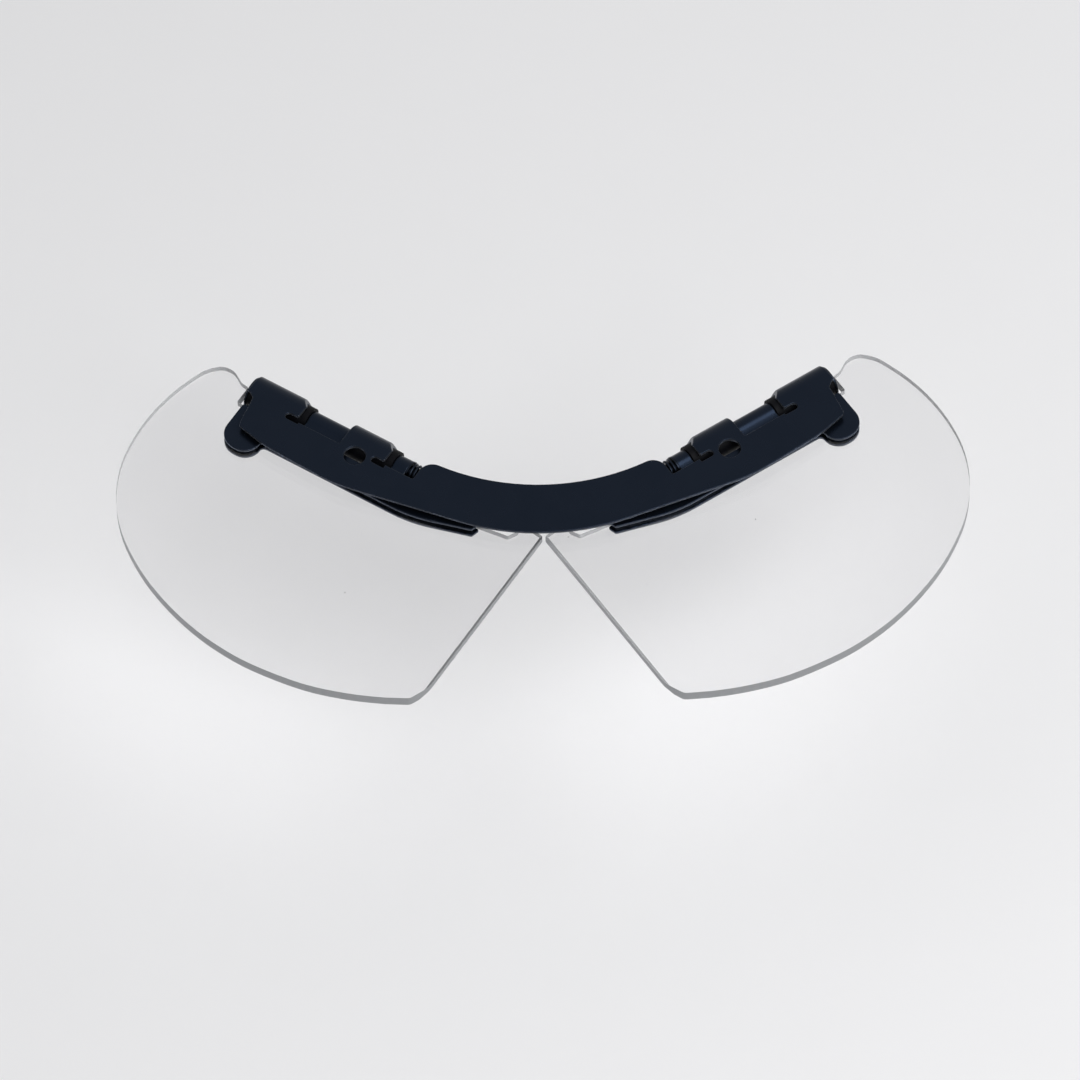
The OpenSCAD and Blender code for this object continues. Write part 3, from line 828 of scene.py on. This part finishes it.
def light_sky(studio):
    """Even white light from all round."""
    world = bpy.data.worlds.new("even light")
    world.use_nodes = True
    sky = world.node_tree.nodes["Background"]
    sky.inputs["Color"].default_value = (1.0, 1.0, 1.0, 1.0)
    sky.inputs["Strength"].default_value = studio.sky
    bpy.context.scene.world = world


def place_camera(studio):
    """A long lens that shows the crossing of the hinge axes where the photograph does.

    It stands off the crossing by its distance along the view, and aside by the crossing's
    offset from the picture's middle times the size of a pixel.
    """
    origin, _, _, _ = hinge("right")
    low_face = points_of("right_lens")[:, 2].min()
    crossing = Vector((0.0, origin[1], low_face))
    lift = studio.elevation
    back = Vector((0, -math.cos(lift), math.sin(lift)))
    up = Vector((0, math.sin(lift), math.cos(lift)))
    right = Vector((1, 0, 0))
    turn = studio.roll
    right_rolled = math.cos(turn) * right - math.sin(turn) * up
    up_rolled = math.cos(turn) * up + math.sin(turn) * right
    off_x = (CROSSING_PX[0] - PHOTO_SIZE / 2) * studio.pixel
    off_y = (PHOTO_SIZE / 2 - CROSSING_PX[1]) * studio.pixel
    place = crossing - off_x * right_rolled - off_y * up_rolled + back * studio.distance
    camera = bpy.data.cameras.new("camera")
    camera.sensor_width = SENSOR
    camera.lens = camera.sensor_width * studio.distance / (PHOTO_SIZE * studio.pixel)
    camera.clip_end = FARTHEST
    holder = bpy.data.objects.new("camera", camera)
    holder.matrix_world = Matrix((
        (right_rolled.x, up_rolled.x, back.x, place.x),
        (right_rolled.y, up_rolled.y, back.y, place.y),
        (right_rolled.z, up_rolled.z, back.z, place.z),
        (0, 0, 0, 1)))
    bpy.context.scene.collection.objects.link(holder)
    bpy.context.scene.camera = holder


# Panel and registration

class EYESHIELD_PT_panel(bpy.types.Panel):
    """The eye shield's steps, in order"""

    bl_label = "Eye Shield"
    bl_idname = "EYESHIELD_PT_panel"
    bl_space_type = "VIEW_3D"
    bl_region_type = "UI"
    bl_category = "Eye Shield"

    def draw(self, context):
        for step in STEPS:
            self.layout.operator(step.bl_idname)


SETTINGS = {
    "eye_shield_steel": SteelSettings,
    "eye_shield_lens": LensSettings,
    "eye_shield_hardware": HardwareSettings,
    "eye_shield_studio": StudioSettings,
}
STEPS = (
    EYESHIELD_OT_materials, EYESHIELD_OT_bracket, EYESHIELD_OT_clamps, EYESHIELD_OT_lenses,
    EYESHIELD_OT_springs, EYESHIELD_OT_hardware, EYESHIELD_OT_stage,
)


def register():
    """Adds the classes, and the settings to the scene."""
    for kind in (*SETTINGS.values(), *STEPS, EYESHIELD_PT_panel):
        bpy.utils.register_class(kind)
    for name, kind in SETTINGS.items():
        setattr(bpy.types.Scene, name, bpy.props.PointerProperty(type=kind))


def unregister():
    """Takes the settings and the classes out again."""
    for name in SETTINGS:
        delattr(bpy.types.Scene, name)
    for kind in (EYESHIELD_PT_panel, *reversed(STEPS), *SETTINGS.values()):
        bpy.utils.unregister_class(kind)


def main():
    """Makes the whole scene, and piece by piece."""
    register()
    bpy.context.scene.view_settings.view_transform = "Standard"
    bpy.ops.eye_shield.materials()
    bpy.ops.eye_shield.bracket()
    bpy.ops.eye_shield.clamps()
    bpy.ops.eye_shield.lenses()
    bpy.ops.eye_shield.springs()
    bpy.ops.eye_shield.hardware()
    bpy.ops.eye_shield.stage()


if __name__ == "__main__":
    main()
